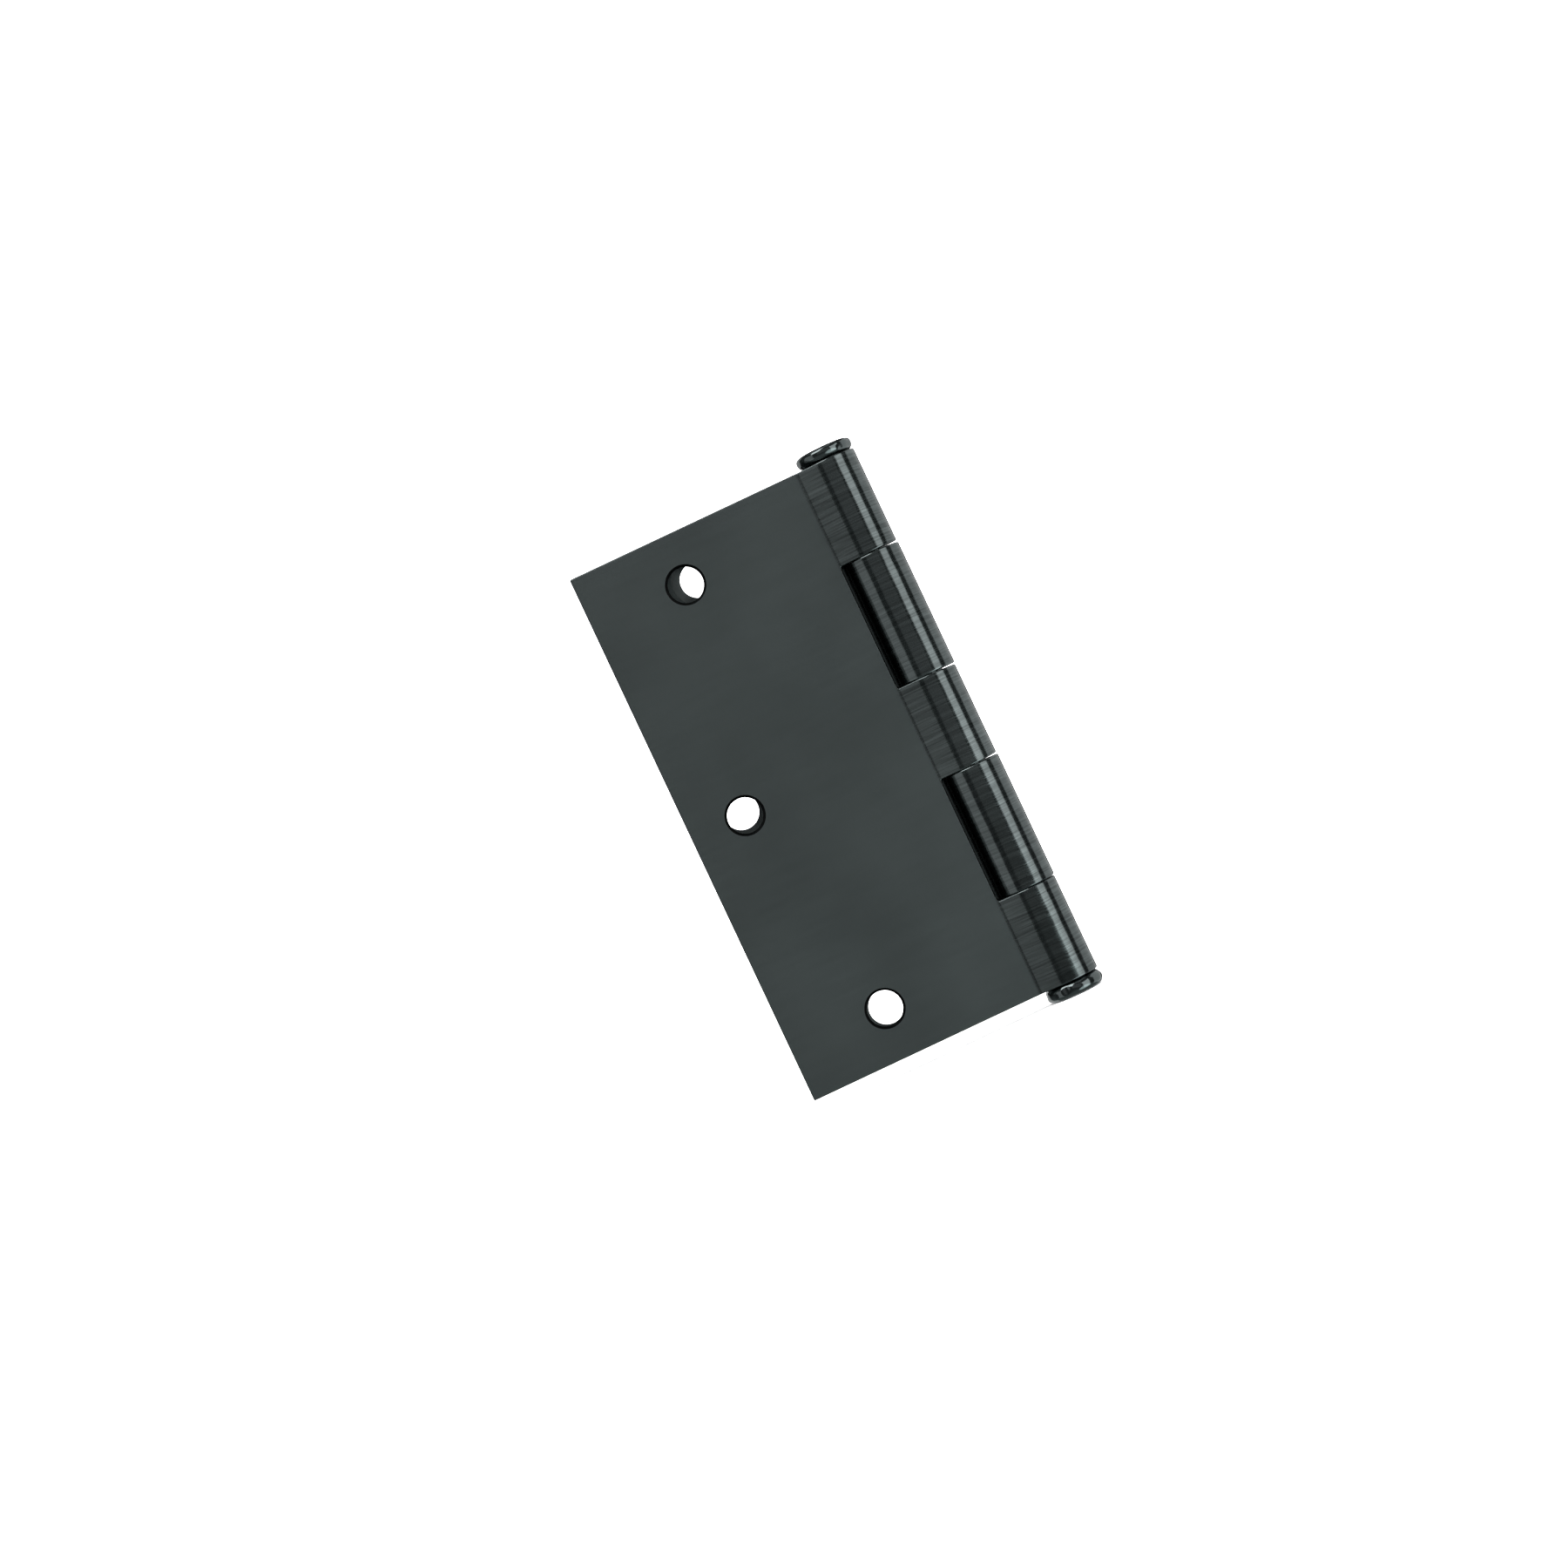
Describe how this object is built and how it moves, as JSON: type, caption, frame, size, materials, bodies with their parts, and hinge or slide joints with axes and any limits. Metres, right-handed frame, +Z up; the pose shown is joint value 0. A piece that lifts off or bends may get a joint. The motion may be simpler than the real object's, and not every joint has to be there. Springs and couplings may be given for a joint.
{
  "type": "door hinge",
  "caption": "Loose-pin butt hinge for a house door: two square-cornered leaves rolled into an interleaved barrel on a removable button-headed pin, for countersunk screws.",
  "frame": {"origin": "on the hinge pin's axis at the barrel's mid-height, with the hinge closed", "axes": "+Z up the pin towards its head; the closed leaves lie towards -X, the jamb leaf on the -Y side and the door leaf on the +Y side"},
  "size_m": [0.0487, 0.0094, 0.0934],
  "materials": {
    "leaf_finish": "satin black-plated sheet steel with a slight green-grey cast",
    "pin_finish": "semi-gloss black-plated turned steel"
  },
  "bodies": {
    "jamb_leaf": {"jamb_leaf": "leaf_finish", "bottom_tip": "pin_finish"},
    "door_leaf": {"door_leaf": "leaf_finish"},
    "pin": {"hinge_pin": "pin_finish"}
  },
  "joints": [
    {"name": "leaf_swing", "type": "hinge", "parent": "jamb_leaf", "child": "door_leaf", "pos_m": [0, 0, 0], "axis": [0, 0, -1], "range_deg": [0, 270]},
    {"name": "pin_lift", "type": "slide", "parent": "jamb_leaf", "child": "pin", "axis": [0, 0, 1], "range_m": [0, 0.09]}
  ]
}
